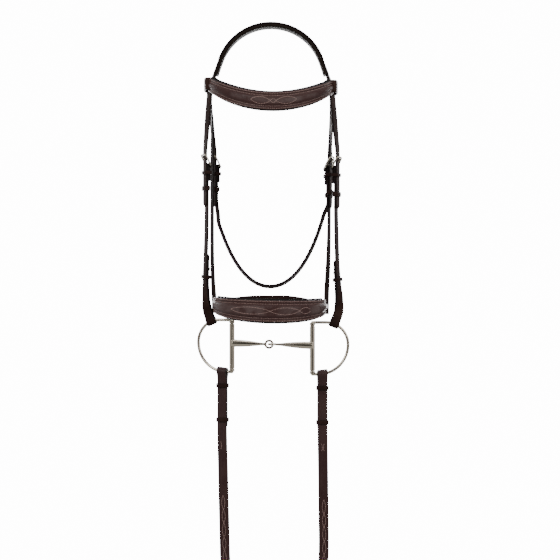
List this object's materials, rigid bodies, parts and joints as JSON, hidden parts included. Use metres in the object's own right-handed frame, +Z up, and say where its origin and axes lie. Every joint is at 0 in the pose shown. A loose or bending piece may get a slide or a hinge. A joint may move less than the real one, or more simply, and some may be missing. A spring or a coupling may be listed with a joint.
{
  "type": "snaffle bridle",
  "caption": "Padded leather snaffle bridle with raised browband and noseband, throatlatch, jointed dee-ring bit and reins, hung from its crownpiece.",
  "frame": {"origin": "middle of the crownpiece's underside at its highest point, where a bridle hook or the horse's poll carries the bridle", "axes": "+Z up; -Y the front of the horse's face; +X the horse's near side"},
  "size_m": [0.2545, 0.21, 1.338],
  "materials": {
    "strap_leather": "oiled dark brown bridle leather, edges stained",
    "fancy_leather": "padded dark brown leather with pale fancy stitching",
    "rein_leather": "dark brown leather, pale fancy stitching",
    "lining": "soft black padded lining",
    "buckle_metal": "polished stainless steel",
    "bit_steel": "polished stainless steel with a warm cast"
  },
  "bodies": {
    "headstall": {"crownpiece": "strap_leather", "crown_padding": "lining", "noseband_headstrap": "strap_leather", "near_hanger": "strap_leather", "hanger_buckle": "buckle_metal", "hanger_keeper": "strap_leather", "cheekpiece_off": "strap_leather", "cheekpiece_near": "strap_leather", "cheek_buckle_off": "buckle_metal", "cheek_buckle_near": "buckle_metal", "cheek_keeper_off": "strap_leather", "cheek_keeper_near": "strap_leather", "hook_keeper_off": "strap_leather", "hook_keeper_near": "strap_leather", "cheek_studs": "buckle_metal", "throatlatch_off_end": "strap_leather", "throatlatch_near_end": "strap_leather", "throat_buckle_off": "buckle_metal", "throat_buckle_near": "buckle_metal", "throat_keeper_off": "strap_leather", "throat_keeper_near": "strap_leather"},
    "browband": {"browband": "fancy_leather", "browband_lining": "lining", "browband_loop_off": "strap_leather", "browband_loop_near": "strap_leather"},
    "throatlatch": {"throatlatch": "strap_leather"},
    "noseband": {"noseband": "fancy_leather", "noseband_lining": "lining", "chin_strap": "strap_leather", "chin_buckle": "buckle_metal", "chin_keeper": "strap_leather"},
    "dee_off": {"dee_off": "bit_steel"},
    "dee_near": {"dee_near": "bit_steel"},
    "mouthpiece_off": {"mouthpiece_off": "bit_steel"},
    "mouthpiece_near": {"mouthpiece_near": "bit_steel"},
    "reins": {"rein_billet_off": "strap_leather", "rein_billet_near": "strap_leather", "rein_studs": "buckle_metal", "rein_keepers_off": "strap_leather", "rein_keepers_near": "strap_leather", "rein_off": "rein_leather", "rein_near": "rein_leather", "rein_hank": "rein_leather", "rein_buckle": "buckle_metal", "rein_buckle_tongue": "buckle_metal", "rein_end_keeper": "strap_leather", "hank_tie": "strap_leather"},
    "cheek_tongue_off": {"cheek_tongue_off": "buckle_metal"},
    "cheek_tongue_near": {"cheek_tongue_near": "buckle_metal"},
    "throat_tongue_off": {"throat_tongue_off": "buckle_metal"},
    "throat_tongue_near": {"throat_tongue_near": "buckle_metal"},
    "hanger_tongue": {"hanger_tongue": "buckle_metal"},
    "chin_tongue": {"chin_tongue": "buckle_metal"},
    "cheek_runner_off": {"cheek_runner_off": "strap_leather"},
    "cheek_runner_near": {"cheek_runner_near": "strap_leather"},
    "throat_runner_off": {"throat_runner_off": "strap_leather"},
    "throat_runner_near": {"throat_runner_near": "strap_leather"},
    "hanger_runner": {"hanger_runner": "strap_leather"},
    "chin_runner": {"chin_runner": "strap_leather"}
  },
  "joints": [
    {"name": "browband_tilt", "type": "hinge", "parent": "headstall", "child": "browband", "pos_m": [0, 0, -0.099], "axis": [1, 0, 0], "range_deg": [-8, 8]},
    {"name": "noseband_tilt", "type": "hinge", "parent": "headstall", "child": "noseband", "pos_m": [0, 0.002, -0.462], "axis": [1, 0, 0], "range_deg": [-12, 12]},
    {"name": "throatlatch_swing", "type": "hinge", "parent": "headstall", "child": "throatlatch", "pos_m": [-0.0005, 0.03207, -0.3095], "axis": [0.9985, 0.0508, -0.0226], "range_deg": [-20, 20]},
    {"name": "bit_swing", "type": "hinge", "parent": "headstall", "child": "dee_off", "pos_m": [0.00293, 0.00083, -0.48993], "axis": [0.9991, -0.0364, -0.0196], "range_deg": [-12, 12]},
    {"name": "bit_swing_near", "type": "hinge", "parent": "headstall", "child": "dee_near", "pos_m": [0.00293, 0.00083, -0.48993], "axis": [0.9991, -0.0364, -0.0196], "range_deg": [-12, 12]},
    {"name": "mouthpiece_off_turn", "type": "hinge", "parent": "dee_off", "child": "mouthpiece_off", "pos_m": [-0.0647, -0.008, -0.5283], "axis": [0, 0, 1], "range_deg": [-9, 9]},
    {"name": "mouthpiece_near_turn", "type": "hinge", "parent": "dee_near", "child": "mouthpiece_near", "pos_m": [0.0687, -0.008, -0.5323], "axis": [0, 0, 1], "range_deg": [-9, 9]},
    {"name": "rein_swing", "type": "hinge", "parent": "dee_off", "child": "reins", "pos_m": [0.00242, -0.00398, -0.57297], "axis": [0.9995, -0.0204, -0.0241], "range_deg": [-12, 12]},
    {"name": "cheek_tongue_off_lift", "type": "hinge", "parent": "headstall", "child": "cheek_tongue_off", "pos_m": [-0.10375, -0.00748, -0.229], "axis": [0.3746, -0.9272, 0], "range_deg": [0, 25]},
    {"name": "cheek_tongue_near_lift", "type": "hinge", "parent": "headstall", "child": "cheek_tongue_near", "pos_m": [0.10525, -0.00748, -0.233], "axis": [0.3746, 0.9272, 0], "range_deg": [0, 25]},
    {"name": "throat_tongue_off_lift", "type": "hinge", "parent": "headstall", "child": "throat_tongue_off", "pos_m": [-0.08949, 0.02902, -0.229], "axis": [0.5, -0.866, 0], "range_deg": [0, 25]},
    {"name": "throat_tongue_near_lift", "type": "hinge", "parent": "headstall", "child": "throat_tongue_near", "pos_m": [0.09349, 0.03803, -0.233], "axis": [0.5, 0.866, 0], "range_deg": [0, 25]},
    {"name": "hanger_tongue_lift", "type": "hinge", "parent": "headstall", "child": "hanger_tongue", "pos_m": [0.09424, 0.01552, -0.231], "axis": [0.3746, 0.9272, 0], "range_deg": [0, 25]},
    {"name": "chin_tongue_lift", "type": "hinge", "parent": "noseband", "child": "chin_tongue", "pos_m": [0.07211, 0.05378, -0.4618], "axis": [0, 0, -1], "range_deg": [0, 25]},
    {"name": "cheek_runner_off_slide", "type": "slide", "parent": "headstall", "child": "cheek_runner_off", "axis": [0, 0, 1], "range_m": [-0.012, 0.006]},
    {"name": "cheek_runner_near_slide", "type": "slide", "parent": "headstall", "child": "cheek_runner_near", "axis": [0, 0, 1], "range_m": [-0.012, 0.006]},
    {"name": "throat_runner_off_slide", "type": "slide", "parent": "headstall", "child": "throat_runner_off", "axis": [0, 0, 1], "range_m": [-0.012, 0.006]},
    {"name": "throat_runner_near_slide", "type": "slide", "parent": "headstall", "child": "throat_runner_near", "axis": [0, 0, 1], "range_m": [-0.008, 0.006]},
    {"name": "hanger_runner_slide", "type": "slide", "parent": "headstall", "child": "hanger_runner", "axis": [0, 0, 1], "range_m": [-0.012, 0.006]},
    {"name": "chin_runner_slide", "type": "slide", "parent": "noseband", "child": "chin_runner", "axis": [-0.2334, 0.9724, 0], "range_m": [-0.004, 0.006]}
  ],
  "couplings": [
    {"joint": "bit_swing_near", "follows": "bit_swing", "ratio": 1},
    {"joint": "mouthpiece_near_turn", "follows": "mouthpiece_off_turn", "ratio": -0.925}
  ]
}
